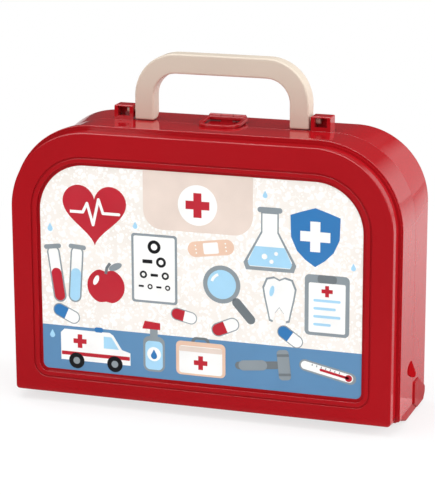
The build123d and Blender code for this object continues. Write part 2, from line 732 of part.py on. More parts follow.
def make_bulb():
    half = bulb_length / 2 - bulb_radius
    bulb = Cylinder(bulb_radius, 2 * half)
    for side in (-1, 1):
        bulb += Pos(0, 0, side * half) * Sphere(bulb_radius)
    spout = Cylinder(bulb_spout_radius, bulb_spout_length)
    bulb += Pos(0, 0, (bulb_length + bulb_spout_length) / 2 - 1) * spout
    base = Pos(0, 0, -bulb_length / 2) * Box(bulb_length, bulb_length, 2 * bulb_flat)
    return {"cuff_bulb": bulb - base}


def lay_instruments():
    back_row = [(make_phone(), 0), (make_drip_bag(), 0), (make_thermometer(), 0), (make_hammer(), 0),
                (make_otoscope(), 0), (make_stethoscope(), 0), (make_scissors(), scissors_swing)]
    front_row = [(make_syringe(), syringe_travel), (make_jar(), 0), (make_cuff(), 0), (make_bulb(), 0),
                 (make_bandage(), 0)]
    pieces = lay_row(back_row, back=inner_back - seat_clearance)
    pieces.update(lay_row(front_row, front=rim_y + body_wall + row_gap))
    pieces.update(lay_row([(make_glasses(), glasses_room)], front=seam_y - glasses_setback))
    return pieces


def build():
    parts = {
        "body_frame": make_body_frame(),
        "rear_shell": make_rear_shell(),
        "front_lid": make_lid(),
        "label_card": make_label(),
        "hinge_pin_left": make_hinge_pin(-1),
        "hinge_pin_right": make_hinge_pin(1),
        "carry_handle": make_handle(),
        "latch": make_latch(),
        "latch_pin": make_latch_pin(),
        "foot_left": make_foot(-1),
        "foot_right": make_foot(1),
    }
    parts.update(lay_instruments())
    return parts


os.makedirs("parts", exist_ok=True)
for name, shape in build().items():
    export_step(shape, f"parts/{name}.step")
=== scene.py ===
"""Looks of a toy doctor case: glossy red shells, a printed label, a beige handle and the toys inside."""
import math

import bmesh
import bpy
from mathutils import Matrix, Vector


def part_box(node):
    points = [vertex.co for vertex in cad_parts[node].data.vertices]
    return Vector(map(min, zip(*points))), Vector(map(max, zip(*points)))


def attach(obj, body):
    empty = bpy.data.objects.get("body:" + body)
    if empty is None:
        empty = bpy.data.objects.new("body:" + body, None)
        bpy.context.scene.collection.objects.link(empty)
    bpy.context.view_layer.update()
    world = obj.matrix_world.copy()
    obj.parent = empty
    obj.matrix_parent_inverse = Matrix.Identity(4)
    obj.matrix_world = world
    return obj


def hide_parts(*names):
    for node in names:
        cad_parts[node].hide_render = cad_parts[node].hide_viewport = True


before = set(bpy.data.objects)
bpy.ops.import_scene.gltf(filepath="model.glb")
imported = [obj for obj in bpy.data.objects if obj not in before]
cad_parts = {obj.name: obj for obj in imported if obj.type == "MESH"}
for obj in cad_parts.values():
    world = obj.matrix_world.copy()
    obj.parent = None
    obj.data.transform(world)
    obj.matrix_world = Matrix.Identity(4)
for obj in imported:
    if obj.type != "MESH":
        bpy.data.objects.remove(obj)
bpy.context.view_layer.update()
MM = 0.001


# ---------------------------------------------------------------------------- colours
def linear(red, green, blue):
    """Linear colour from 8-bit sRGB."""
    out = []
    for value in (red, green, blue):
        value /= 255
        out.append(value / 12.92 if value <= 0.04045 else ((value + 0.055) / 1.055) ** 2.4)
    return (*out, 1.0)


def shade(color, factor):
    """The same colour, darker or lighter."""
    return (*[min(1.0, value * factor) for value in color[:3]], 1.0)


RED = linear(170, 20, 28)
LID_RED = linear(164, 19, 27)
PAINTED_SHADE_RED = linear(152, 14, 20)
# Painted shade: a darker red for the feet and the side marks, standing in for the shade they lie in.
BEIGE = linear(207, 194, 178)
CREAM_DARK = linear(237, 231, 224)
CREAM_LIGHT = linear(244, 239, 233)
DOT_WHITE = linear(253, 252, 249)
BAND_BLUE = linear(92, 140, 182)
WHITE = linear(246, 246, 244)
GREY = linear(140, 150, 156)
INK_RED = linear(190, 24, 44)
INK_BLUE = linear(44, 120, 184)
PALE_BLUE = linear(164, 212, 240)
BLACK = linear(26, 26, 30)
PLATE_BEIGE = linear(228, 211, 200)
SKIN = linear(232, 196, 172)
STEEL = linear(176, 178, 182)
TOY_BLUE = linear(40, 122, 190)
TOY_GREY = linear(142, 152, 160)
TOY_WHITE = linear(238, 238, 236)
TOY_RED = linear(196, 24, 40)
TOY_BLACK = linear(28, 28, 32)
TOY_CLEAR = linear(226, 236, 242)
LIQUID_BLUE = linear(150, 206, 240)
GAUZE = linear(244, 236, 208)
STUDIO_WHITE = (1, 1, 1, 1)


# ---------------------------------------------------------------------------- materials
NOISE_LOW, NOISE_HIGH = 0.3, 0.7  # most values of a noise texture lie between these
MIX_SOCKETS = {"RGBA": (6, 7, 2), "FLOAT": (2, 3, 0)}  # first input, second input and output of a mix node


class Graph:
    """Short way to add and join the nodes of a material or of the world."""

    def __init__(self, tree):
        self.tree = tree

    def add(self, kind, **values):
        node = self.tree.nodes.new("ShaderNode" + kind)
        for key, value in values.items():
            setattr(node, key, value)
        return node

    def feed(self, value, socket):
        """Gives a socket a fixed value, or links another node's output to it."""
        if isinstance(value, bpy.types.NodeSocket):
            self.tree.links.new(value, socket)
        else:
            socket.default_value = value

    def remap(self, value, low, high, out_low, out_high):
        node = self.add("MapRange")
        node.inputs["From Min"].default_value = low
        node.inputs["From Max"].default_value = high
        node.inputs["To Min"].default_value = out_low
        node.inputs["To Max"].default_value = out_high
        self.feed(value, node.inputs["Value"])
        return node.outputs["Result"]

    def mix(self, factor, first, second, kind="RGBA"):
        """Mixes two colours, or two plain numbers with the kind FLOAT."""
        node = self.add("Mix", data_type=kind)
        first_input, second_input, output = MIX_SOCKETS[kind]
        self.feed(factor, node.inputs[0])
        self.feed(first, node.inputs[first_input])
        self.feed(second, node.inputs[second_input])
        return node.outputs[output]

    def mix_shaders(self, factor, first, second):
        node = self.add("MixShader")
        for value, socket in zip((factor, first, second), node.inputs):
            self.feed(value, socket)
        return node.outputs[0]

    def emission(self, brightness):
        node = self.add("Emission")
        node.inputs["Strength"].default_value = brightness
        return node.outputs[0]

    def math(self, operation, *values):
        node = self.add("Math", operation=operation)
        for value, socket in zip(values, node.inputs):
            self.feed(value, socket)
        return node.outputs[0]

    def axes(self, vector):
        """The X, Y and Z of a vector."""
        node = self.add("SeparateXYZ")
        self.feed(vector, node.inputs[0])
        return node.outputs


class Surface(Graph):
    """The node tree of a new material."""

    def __init__(self, name):
        self.material = bpy.data.materials.new(name)
        self.material.use_nodes = True
        super().__init__(self.material.node_tree)
        self.shader = self.tree.nodes["Principled BSDF"]
        self.coordinates = self.add("TexCoord").outputs["Object"]

    def stretched(self, stretch):
        """The object's coordinates, scaled along each axis."""
        node = self.add("Mapping")
        node.inputs["Scale"].default_value = stretch
        self.feed(self.coordinates, node.inputs["Vector"])
        return node.outputs["Vector"]

    def noise(self, scale, detail=2.0, stretch=(1, 1, 1)):
        node = self.add("TexNoise")
        node.inputs["Scale"].default_value = scale
        node.inputs["Detail"].default_value = detail
        self.feed(self.stretched(stretch), node.inputs["Vector"])
        return node.outputs["Fac"]

    def cells(self, scale, vector):
        """Distance to the nearest of many scattered points."""
        node = self.add("TexVoronoi", feature="F1", voronoi_dimensions="3D")
        node.inputs["Scale"].default_value = scale
        self.feed(vector, node.inputs["Vector"])
        return node.outputs["Distance"]

    def vary(self, noise, out_low=0.0, out_high=1.0):
        """Spreads a noise over a range of values."""
        return self.remap(noise, NOISE_LOW, NOISE_HIGH, out_low, out_high)

    def bump(self, height, strength, distance, normal=None):
        node = self.add("Bump")
        node.inputs["Strength"].default_value = strength
        node.inputs["Distance"].default_value = distance
        self.feed(height, node.inputs["Height"])
        if normal is not None:
            self.feed(normal, node.inputs["Normal"])
        return node.outputs["Normal"]

    def finish(self, color, roughness, normal):
        self.feed(color, self.shader.inputs["Base Color"])
        self.feed(roughness, self.shader.inputs["Roughness"])
        self.feed(normal, self.shader.inputs["Normal"])
        return self.material


def plastic(name, color, roughness=0.22, spread=0.05, tone=0.06, ripple=0.04, grain=0.0, transmission=0.0,
            specular=0.5):
    """Moulded plastic: slow tone changes, uneven gloss, a slight ripple and an optional fine grain."""
    m = Surface(name)
    slow = m.noise(9.0, detail=3.0)
    streak = m.noise(26.0, stretch=(1.0, 1.0, 0.35))
    smoothest = 0.02
    tint = m.mix(m.vary(slow), shade(color, 1 - tone), shade(color, 1 + tone))
    rough = m.vary(streak, max(smoothest, roughness - spread), roughness + spread)
    normal = m.bump(m.noise(32.0, detail=1.0), ripple, 1.2 * MM)
    if grain:
        normal = m.bump(m.noise(2600.0), grain, 0.12 * MM, normal)
    m.shader.inputs["Specular IOR Level"].default_value = specular
    m.shader.inputs["Transmission Weight"].default_value = transmission
    return m.finish(tint, rough, normal)


def metal(name, color):
    """Drawn wire: fine lines along its length, which is X."""
    m = Surface(name)
    lines = m.noise(900.0, stretch=(0.05, 1.0, 1.0))
    m.shader.inputs["Metallic"].default_value = 1.0
    tint = m.mix(lines, shade(color, 0.86), shade(color, 1.05))
    return m.finish(tint, m.vary(lines, 0.22, 0.36), m.bump(lines, 0.15, 0.05 * MM))


def cloth(name, color, bands):
    """Plain weave: crossed sets of threads, as bands along each axis, with slight tone changes."""
    m = Surface(name)
    waves = []
    for direction in ("X", "Y", "Z"):
        wave = m.add("TexWave", wave_type="BANDS", bands_direction=direction)
        wave.inputs["Scale"].default_value = bands
        wave.inputs["Distortion"].default_value = 0.4
        m.feed(m.coordinates, wave.inputs["Vector"])
        waves.append(wave.outputs["Fac"])
    weave = m.math("MULTIPLY", m.math("ADD", waves[0], waves[1]), waves[2])
    tint = m.mix(m.vary(m.noise(120.0, detail=3.0)), shade(color, 0.9), shade(color, 1.05))
    tint = m.mix(m.remap(weave, 0.0, 1.0, 0.0, 0.25), tint, shade(color, 0.7))
    m.shader.inputs["Sheen Weight"].default_value = 0.3
    return m.finish(tint, m.vary(m.noise(60.0), 0.8, 0.95), m.bump(weave, 0.5, 0.25 * MM))


def print_ink(name, color):
    """Ink on card: faint mottle under a clear film."""
    m = Surface(name)
    dots = m.noise(1500.0)
    tint = m.mix(m.vary(m.noise(40.0)), shade(color, 0.95), shade(color, 1.04))
    tint = m.mix(m.remap(dots, 0.45, 0.6, 0.0, 0.12), tint, shade(color, 1.12))
    return m.finish(tint, m.vary(m.noise(55.0), 0.3, 0.4), m.bump(dots, 0.05, 0.03 * MM))


def label_material(band_top):
    """Cream card sown with small white dots, rings and ticks, with a blue band along the bottom."""
    m = Surface("label_print")
    across_card = (1.0, 0.0, 1.0)  # the same all through the card's thickness
    flat = m.stretched(across_card)
    ring = m.math("COMPARE", m.cells(58.0, flat), 0.3, 0.045)
    tick = m.math("COMPARE", m.noise(120.0, detail=1.0, stretch=across_card), 0.5, 0.012)
    gate = m.remap(m.noise(45.0, detail=1.0, stretch=across_card), 0.5, 0.56, 0.0, 1.0)
    scatter = m.math("MULTIPLY", m.math("MAXIMUM", ring, tick), gate)
    for scale, size, soft_edge in ((170.0, 0.26, 0.08), (105.0, 0.24, 0.06), (300.0, 0.28, 0.1)):
        dot = m.remap(m.cells(scale, flat), size, size + soft_edge, 1.0, 0.0)
        scatter = m.math("MAXIMUM", scatter, dot)
    mottle = m.vary(m.noise(30.0, detail=3.0))
    ground = m.mix(mottle, CREAM_DARK, CREAM_LIGHT)
    cream = m.mix(m.math("MULTIPLY", scatter, 0.9), ground, DOT_WHITE)
    band = m.mix(mottle, shade(BAND_BLUE, 0.97), shade(BAND_BLUE, 1.03))
    above = m.math("GREATER_THAN", m.axes(m.coordinates)["Z"], band_top)
    rough = m.vary(m.noise(55.0), 0.28, 0.38)
    return m.finish(m.mix(above, band, cream), rough, m.bump(m.noise(800.0), 0.04, 0.03 * MM))


shell_red = plastic("red_shell", RED, roughness=0.08, spread=0.02, tone=0.04, ripple=0.05)
lid_red = plastic("red_lid", LID_RED, roughness=0.09, spread=0.02, tone=0.04, ripple=0.05)
# Painted shade: the feet get a darker, barely glossy red in place of the shade under the case.
foot_shade_red = plastic("red_feet_shade", PAINTED_SHADE_RED, roughness=0.3, specular=0.08)
# Painted shade: the side marks get a dark red with no gloss, standing in for the dark patch in the side
# wall's reflection.
leaf_shade_red = plastic("red_leaf_shade", PAINTED_SHADE_RED, roughness=0.4, specular=0.0)
latch_red = plastic("red_latch", RED, roughness=0.14, spread=0.03, ripple=0.02)
beige = plastic("beige_handle", BEIGE, roughness=0.42, spread=0.06, tone=0.03, ripple=0.03, grain=0.12)
steel = metal("steel_pin", STEEL)
toy_blue = plastic("toy_blue", TOY_BLUE, roughness=0.24)
toy_grey = plastic("toy_grey", TOY_GREY, roughness=0.3)
toy_white = plastic("toy_white", TOY_WHITE, roughness=0.26)
toy_red = plastic("toy_red", TOY_RED)
toy_black = plastic("toy_black", TOY_BLACK, roughness=0.34)
toy_clear = plastic("toy_clear", TOY_CLEAR, roughness=0.1, transmission=0.7)
liquid_blue = plastic("liquid_blue", LIQUID_BLUE, roughness=0.12, transmission=0.45)
gauze = cloth("gauze", GAUZE, bands=45.0)
plaster_skin = cloth("plaster_weave", SKIN, bands=80.0)

INKS = {
    "white": print_ink("ink_white", WHITE), "red": print_ink("ink_red", INK_RED),
    "grey": print_ink("ink_grey", GREY), "blue": print_ink("ink_blue", INK_BLUE),
    "pale": print_ink("ink_pale_blue", PALE_BLUE), "black": print_ink("ink_black", BLACK),
    "beige": print_ink("ink_beige", PLATE_BEIGE), "skin": print_ink("ink_skin", SKIN),
    "dark": print_ink("ink_dark_grey", shade(GREY, 0.62)),
}

BAND_HEIGHT = 37.5 * MM
label_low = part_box("label_card")[0]
label_print = label_material(label_low.z + BAND_HEIGHT)

NODES_OF_MATERIAL = (
    (shell_red, ("body_frame", "rear_shell")),
    (lid_red, ("front_lid",)),
    (label_print, ("label_card",)),
    (beige, ("carry_handle",)),
    (latch_red, ("latch",)),
    (foot_shade_red, ("foot_left", "foot_right")),
    (steel, ("hinge_pin_left", "hinge_pin_right", "latch_pin", "scissor_rivet")),
    (toy_grey, ("toy_phone", "thermometer", "hammer_head", "hammer_handle", "otoscope_handle",
                "otoscope_head", "stethoscope_headset", "stethoscope_chestpiece", "needle", "cuff_band",
                "cuff_gauge")),
    (toy_blue, ("scissor_blade_front", "scissor_blade_back")),
    (toy_red, ("syringe_plunger", "medicine_jar", "glasses")),
    (toy_white, ("medicine_jar_cap",)),
    (toy_black, ("cuff_bulb",)),
    (toy_clear, ("syringe_barrel",)),
    (liquid_blue, ("drip_bag",)),
    (gauze, ("cloth_bandage",)),
    (plaster_skin, ("plaster_strips",)),
)
for material, names in NODES_OF_MATERIAL:
    for name in names:
        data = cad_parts[name].data
        data.materials.clear()
        data.materials.append(material)


# ---------------------------------------------------------------------------- outlines, in mm
CORNER_STEPS = 8


def arc(cx, cz, radius, start, stop, steps):
    """Points of an arc, with angles in degrees from +X towards +Z."""
    out = []
    for i in range(steps + 1):
        angle = math.radians(start + (stop - start) * i / steps)
        out.append((cx + radius * math.cos(angle), cz + radius * math.sin(angle)))
    return out


def disc(cx, cz, radius, steps=40):
    return arc(cx, cz, radius, 0, 360, steps)[:-1]


def ellipse(cx, cz, rx, rz):
    return [(cx + rx * x, cz + rz * z) for x, z in disc(0, 0, 1.0)]


def slab(cx, cz, width, height, corner):
    """A rectangle with rounded corners, which always keeps a short straight piece on each side."""
    straight = 0.01
    corner = min(corner, width / 2 - straight, height / 2 - straight)
    x, z = width / 2 - corner, height / 2 - corner
    points = []
    for quarter, (side, rise) in enumerate(((1, 1), (-1, 1), (-1, -1), (1, -1))):
        points += arc(cx + side * x, cz + rise * z, corner, 90 * quarter, 90 * (quarter + 1), CORNER_STEPS)
    return points


def plus(cx, cz, size, arm):
    """A cross with square arms."""
    s, a = size / 2, arm / 2
    points = [(-a, -s), (a, -s), (a, -a), (s, -a), (s, a), (a, a), (a, s), (-a, s), (-a, a), (-s, a),
              (-s, -a), (-a, -a)]
    return [(cx + x, cz + z) for x, z in points]


def heart(cx, cz, size, steps=48):
    """The usual heart curve, which is 32 wide by its formula and is moved up to sit centrally."""
    width, lift = 32, 2.5
    points = []
    for i in range(steps):
        t = 2 * math.pi * i / steps
        x = 16 * math.sin(t) ** 3
        z = 13 * math.cos(t) - 5 * math.cos(2 * t) - 2 * math.cos(3 * t) - math.cos(4 * t)
        points.append((cx + x * size / width, cz + (z + lift) * size / width))
    return points


def drop(cx, cz, size):
    """A drop with its point upwards."""
    radius = size * 0.32
    return arc(cx, cz - size * 0.18, radius, 150, 390, 24) + [(cx, cz + size * 0.5)]


def stroke(points, width):
    """A line of constant width through some points, with mitred corners."""
    half = width / 2
    sharpest = 0.4  # keeps the mitre of a sharp corner short
    left, right = [], []
    for i, (x, z) in enumerate(points):
        before, after = points[max(i - 1, 0)], points[min(i + 1, len(points) - 1)]
        legs = [(a, b) for a, b in ((before, (x, z)), ((x, z), after)) if a != b]
        ways = [math.atan2(b[1] - a[1], b[0] - a[0]) for a, b in legs]
        middle = math.atan2(sum(map(math.sin, ways)), sum(map(math.cos, ways)))
        reach = half / max(sharpest, math.cos(middle - ways[0]))
        left.append((x - reach * math.sin(middle), z + reach * math.cos(middle)))
        right.append((x + reach * math.sin(middle), z - reach * math.cos(middle)))
    return left + right[::-1]


def turned(points, angle, cx=0.0, cz=0.0):
    """The points turned about a centre, by degrees from +X towards +Z."""
    c, s = math.cos(math.radians(angle)), math.sin(math.radians(angle))
    return [(cx + c * (x - cx) - s * (z - cz), cz + s * (x - cx) + c * (z - cz)) for x, z in points]


# ---------------------------------------------------------------------------- plates and meshes
FACINGS = {  # turns an outline's plane and its thickness into X, Y and Z
    "front": Matrix(((1, 0, 0), (0, 0, 1), (0, 1, 0))),
    "top": Matrix(((1, 0, 0), (0, 1, 0), (0, 0, 1))),
    "side": Matrix(((0, 0, 1), (1, 0, 0), (0, 1, 0))),
}


CENTRED, INWARDS = 0.0, -1.0  # where a skin's thickness goes


def place_piece(name, data, material, body):
    """Puts a mesh into the scene as a piece that rides on a body."""
    data.materials.append(material)
    piece = bpy.data.objects.new(name, data)
    bpy.context.scene.collection.objects.link(piece)
    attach(piece, body)
    return piece


def smooth_skin(piece, thickness, offset):
    """Gives a thin surface a thickness, with smooth shading."""
    for face in piece.data.polygons:
        face.use_smooth = True
    solid = piece.modifiers.new("thickness", "SOLIDIFY")
    solid.thickness = thickness
    solid.offset = offset


def filled_outlines(name, outlines, thickness):
    """A mesh of the area inside the outlines, where an outline inside another is a hole."""
    curve = bpy.data.curves.new(name, "CURVE")
    curve.dimensions = "2D"
    curve.fill_mode = "BOTH"
    curve.extrude = thickness / 2
    for outline in outlines:
        spline = curve.splines.new("POLY")
        spline.points.add(len(outline) - 1)
        for point, (x, z) in zip(spline.points, outline):
            point.co = (x * MM, z * MM, 0, 1)
        spline.use_cyclic_u = True
    holder = bpy.data.objects.new(name, curve)
    bpy.context.scene.collection.objects.link(holder)
    bpy.context.view_layer.update()
    flat = bpy.data.meshes.new_from_object(holder.evaluated_get(bpy.context.evaluated_depsgraph_get()))
    bpy.data.objects.remove(holder)
    return flat


def flat_piece(name, shapes, start, thickness, material, body, facing="front"):
    """A thin plate from start along the axis that it faces: each shape is a list of outlines in mm."""
    mesh = bmesh.new()
    for outlines in shapes:
        flat = filled_outlines(name, outlines, thickness)
        mesh.from_mesh(flat)
        bpy.data.meshes.remove(flat)
    bmesh.ops.remove_doubles(mesh, verts=mesh.verts, dist=0.001 * MM)
    bmesh.ops.translate(mesh, vec=(0, 0, start + thickness / 2), verts=mesh.verts)
    bmesh.ops.transform(mesh, matrix=FACINGS[facing].to_4x4(), verts=mesh.verts)
    bmesh.ops.recalc_face_normals(mesh, faces=mesh.faces)
    data = bpy.data.meshes.new(name)
    mesh.to_mesh(data)
    mesh.free()
    return place_piece(name, data, material, body)


# ---------------------------------------------------------------------------- label motifs
# Each motif is a list of shapes round its own middle: an ink, a layer and one or more outlines. Shapes with
# the same ink and layer never overlap, since they become one mesh.
def top_tab():
    """A beige tab that hangs from the label's top edge, in the label's own coordinates."""
    top, half_top, half_bottom, arc_middle, radius = 172.9, 46, 30, 141, 16
    left = arc(-half_bottom, arc_middle, radius, 180, 270, 12)
    right = arc(half_bottom, arc_middle, radius, 270, 360, 12)
    return [("beige", 1, [(-half_top, top), *left, *right, (half_top, top)])]


def round_cross():
    """A plain cross on a disc."""
    return [("white", 2, disc(0, 0, 16.5)), ("red", 3, plus(0, 0, 20, 6.8))]


def water_drop(size):
    return [("pale", 1, drop(0, 0, size))]


def capsule(color):
    half = arc(-5.5, 0, 4, 90, 270, 16) + [(0, -4), (0, 4)]
    return [("grey", 1, slab(0, 0, 20.4, 9.4, 4.7)), ("white", 2, slab(0, 0, 19, 8, 4)), (color, 3, half)]


def plaster():
    holes = [("white", 2, disc(side * 11, row * 2.6, 0.55, 12)) for side in (-1, 1) for row in (-1, 0, 1)]
    return [("skin", 1, slab(0, 0, 34, 11, 5.5)), ("white", 2, slab(0, 0, 11, 8, 1)), *holes]


def clipboard():
    widest = 17
    lines = [("pale", 3, slab((width - widest) / 2, 3 - 5 * i, width, 1.6, 0.8))
             for i, width in enumerate((widest, 14, widest, 11))]
    return [("grey", 1, slab(0, 0, 28, 38, 3)), ("white", 2, slab(0, -1.5, 23, 31, 1)),
            ("dark", 3, slab(0, 16.5, 12, 5, 2)), *lines, ("red", 3, plus(0, 9, 7, 2.4))]


def test_tube(color):
    return [("grey", 1, slab(0, 0, 9, 38, 4.5)), ("white", 2, slab(0, 0, 7, 36, 3.5)),
            (color, 3, slab(0, -7, 7, 22, 3.5)), ("grey", 3, slab(0, 18.5, 12, 3, 1.5))]


def van():
    body = [(-30, -9), (28, -9), (28, 1), (21, 3), (14, 14), (11, 16), (-27, 16), (-30, 13)]
    window = [(6, 3), (18.5, 3), (12.5, 12.5), (6, 12.5)]
    shapes = [("white", 1, body), ("pale", 2, window), ("red", 2, slab(-1, -3.5, 57, 3, 0.5)),
              ("red", 2, plus(-14, 7, 11, 3.8)), ("blue", 2, slab(2, 17.5, 7, 4, 1.6))]
    for x in (-17, 15):
        shapes += [("black", 3, disc(x, -9, 6.4)), ("grey", 4, disc(x, -9, 2.8))]
    return shapes


def shield():
    top = [(-8, 14.5), (0, 17), (8, 14.5)]
    right = [(15, 12), (14.6, -1), (11, -9), (6, -14), (0, -18)]
    left = [(-x, z) for x, z in right[-2::-1]]
    return [("blue", 1, top + right + left), ("white", 2, plus(0, 0, 18, 6))]


def apple():
    """A round apple with a dent at the top and a smaller one at the bottom."""
    top_dent, bottom_dent = 2.2, 1.54
    body = []
    for x, z in ellipse(0, 0, 12.5, 11.5):
        dent = top_dent if z > 0 else -bottom_dent
        body.append((x, z - dent * math.exp(-(x / 3) ** 2)))
    stalk = stroke([(0, 8), (0.8, 12), (3, 15)], 1.8)
    leaf = turned(ellipse(6.5, 13, 4.6, 2.1), 25, 6.5, 13)
    shine = turned(ellipse(-6.5, 3.5, 1.6, 3.4), -25, -6.5, 3.5)
    return [("red", 1, body), ("dark", 2, stalk), ("grey", 2, leaf), ("white", 2, shine)]


def tooth():
    points = [(-9, 6), (-7, 11), (-3, 12), (0, 10.6), (3, 12), (7, 11), (9, 6), (8, 0), (6.4, -7),
              (5.4, -12), (3.6, -12.6), (2.6, -8), (0, -4.6), (-2.6, -8), (-3.6, -12.6), (-5.4, -12),
              (-6.4, -7), (-8, 0)]
    rim = [(1.12 * x, 1.09 * z) for x, z in points]
    shine = turned(ellipse(-4.4, 4.5, 1.3, 3.2), -12, -4.4, 4.5)
    return [("grey", 1, rim), ("white", 2, points), ("pale", 3, shine)]


def magnifier():
    lens = disc(0, 0, 9.6)
    handle = turned(slab(0, -22, 6, 20, 3), 42)
    return [("grey", 1, disc(0, 0, 12.5), lens), ("pale", 1, lens),
            ("white", 2, stroke(arc(0, 0, 6.8, 110, 165, 8), 1.8)), ("dark", 1, handle)]


def beaker():
    body = [(-5, 17), (-5, 5), (-15, -13), (-13.6, -17), (13.6, -17), (15, -13), (5, 5), (5, 17)]
    fill = [(-8.4, -3.5), (-12.6, -12.6), (-11.8, -14.6), (11.8, -14.6), (12.6, -12.6), (8.4, -3.5)]
    glass = [(0.84 * x, 0.88 * z) for x, z in body]
    bubbles = [("white", 4, disc(x, z, radius, 16))
               for x, z, radius in ((-3, -9, 1.6), (3.6, -7, 1.1), (1, -11.6, 1.2))]
    return [("grey", 1, body), ("white", 2, glass), ("pale", 3, fill), ("grey", 3, slab(0, 17, 14, 3, 1.5)),
            *bubbles]


def pulse_heart():
    """A heart with a pulse line, whose legs alternate between two layers so that they never overlap."""
    shapes = [("red", 1, heart(0, 0, 44, 64))]
    line = [(-17, 2), (-8, 2), (-5, 8), (-1, -6), (3, 11), (6, 2), (17, 2)]
    width = 1.9
    for i, ends in enumerate(zip(line, line[1:])):
        shapes += [("white", 2 + i % 2, stroke(ends, width)), ("white", 4, disc(*ends[1], width / 2, 16))]
    return shapes


def eye_chart():
    """A chart of plain rings and bars for testing sight."""
    shapes = [("grey", 1, slab(0, 0, 30, 44, 2)), ("white", 2, slab(0, 0, 27, 41, 1.2))]
    for row, (count, size) in enumerate(((1, 8.5), (2, 6.5), (3, 4.8), (4, 3.4))):
        z = 14 - 10 * row + row * row * 0.5
        for i in range(count):
            x = (i - (count - 1) / 2) * (size + 2.4)
            if (i + row) % 2 == 0:
                shapes.append(("black", 3, disc(x, z, size / 2, 24), disc(x, z, size / 4, 24)))
            else:
                shapes.append(("black", 3, slab(x, z, size, size * 0.36, 0.3)))
    return shapes


def kit_bag():
    """A first-aid bag with a flap and a handle."""
    return [("dark", 1, slab(0, 13, 15, 9, 4), slab(0, 13, 10, 5, 2.4)), ("skin", 2, slab(0, 0, 40, 27, 4)),
            ("white", 3, slab(0, -1, 35, 22, 2.4)), ("beige", 4, slab(0, 7.5, 35, 4, 1)),
            ("red", 4, plus(0, -3, 11, 3.8))]


def spray_bottle():
    nozzle = [(-9, 14), (5, 14), (5, 19), (-7, 20)]
    return [("grey", 1, slab(0, -5, 17, 27, 5)), ("pale", 2, slab(0, -6, 13.6, 22, 3.6)),
            ("grey", 2, slab(0, 11, 6, 8, 1)), ("red", 3, nozzle), ("white", 3, disc(0, -5, 5.4)),
            ("blue", 4, drop(0, -5, 7.5))]


def thermometer():
    """A glass thermometer with plain bars for its scale."""
    bars = [("dark", 3, slab(2.1, 14 - 4 * row, 1.8, 0.7, 0.3)) for row in range(7)]
    return [("grey", 1, slab(0, 0, 10, 50, 5)), ("white", 2, slab(0, 0.5, 7, 46, 3.5)),
            ("red", 3, slab(0, -6, 2.2, 26, 1.1)), ("red", 3, disc(0, -18.5, 3)), *bars]


def reflex_hammer():
    rings = [("dark", 4, slab(side * 8, 10, 2.2, 10, 0.6)) for side in (-1, 1)]
    return [("dark", 1, slab(0, -12, 6.4, 38, 3.2)), ("grey", 2, slab(0, -16, 8.4, 24, 4.2)),
            ("grey", 3, slab(0, 10, 25, 10, 3)), *rings]


LABEL_LAYOUT = (  # motif, X from the label's middle and Z from its bottom, size factor, degrees
    (top_tab(), 0, 0, 1.0, 0),
    (round_cross(), 0, 147, 1.0, 0),
    (pulse_heart(), -88, 132, 1.25, 0),
    (eye_chart(), -37, 92, 1.3, 0),
    (shield(), 97, 129, 1.35, 0),
    (clipboard(), 107, 74, 1.3, 0),
    (beaker(), 60, 123, 1.45, 0),
    (test_tube("red"), -122, 81, 1.25, 8),
    (test_tube("pale"), -105, 82, 1.25, -4),
    (tooth(), 68, 76, 1.4, 0),
    (magnifier(), 20, 84, 1.25, 0),
    (plaster(), 11, 113, 1.15, 8),
    (apple(), -79, 74, 1.3, 0),
    (capsule("red"), 23, 49, 1.2, 24),
    (capsule("blue"), -114, 48, 1.2, -24),
    (capsule("blue"), 77, 46, 1.15, -34),
    (capsule("red"), -12, 55, 1.1, -12),
    (van(), -88, 18, 1.05, 0),
    (kit_bag(), 2, 20, 1.05, 0),
    (reflex_hammer(), 62, 21, 1.0, -84),
    (spray_bottle(), -38, 26, 1.1, 0),
    (thermometer(), 108, 20, 0.95, 78),
    (water_drop(7), -127, 30, 1.0, 0),
    (water_drop(7), -127, 120, 1.0, 0),
    (water_drop(6), -53, 127, 1.0, 0),
    (water_drop(6), 56, 160, 1.0, 0),
    (water_drop(6), 128, 107, 1.0, 0),
)
LAYER = 0.06 * MM


def print_label():
    """Collects the motifs' shapes by ink and layer, and makes one thin plate of each."""
    prints = {}
    for shapes, place_x, place_z, factor, angle in LABEL_LAYOUT:
        middle = label_low.z / MM + place_z
        for color, layer, *outlines in shapes:
            placed = [[(place_x + factor * x, middle + factor * z) for x, z in turned(outline, angle)]
                      for outline in outlines]
            prints.setdefault((color, layer), []).append(placed)
    for (color, layer), shapes in sorted(prints.items()):
        rise = (layer + 1) * LAYER
        flat_piece(f"print_{color}_{layer}", shapes, label_low.y - rise, rise, INKS[color], "lid")


print_label()


# ---------------------------------------------------------------------------- marks on the pieces
SCREEN_RECESS = 0.8  # how deep the faces of the phone and the thermometer lie, in mm


def face_mark(node, name, color, outlines, depth=0.0, thickness=0.25):
    """A thin plate on the front of a node, which stands up by its thickness from a depth behind the front.

    All sizes are in mm. X counts from the node's middle and Z from its bottom.
    """
    low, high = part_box(node)
    middle, bottom = (low.x + high.x) / 2 / MM, low.z / MM
    shapes = [[[(middle + x, bottom + z) for x, z in outline]] for outline in outlines]
    flat_piece(name, shapes, low.y + (depth - thickness) * MM, thickness * MM, INKS[color], "case")


def mark_phone():
    face = slab(0, 46, 31.4, 59.4, 1.5)
    display = slab(0, 68, 26, 10, 1.5)
    keys = [slab(x, z, 6, 5.4, 1.4) for x in (-9.5, 0, 9.5) for z in (30, 38.5, 47, 55.5)]
    call_key = disc(0, 8, 3.7)
    face_mark("toy_phone", "phone_face", "pale", [face], SCREEN_RECESS, 0.3)
    face_mark("toy_phone", "phone_display", "white", [display], SCREEN_RECESS, 0.5)
    face_mark("toy_phone", "phone_keys", "white", keys, SCREEN_RECESS, 0.7)
    face_mark("toy_phone", "phone_call_key", "red", [call_key], SCREEN_RECESS, 0.7)


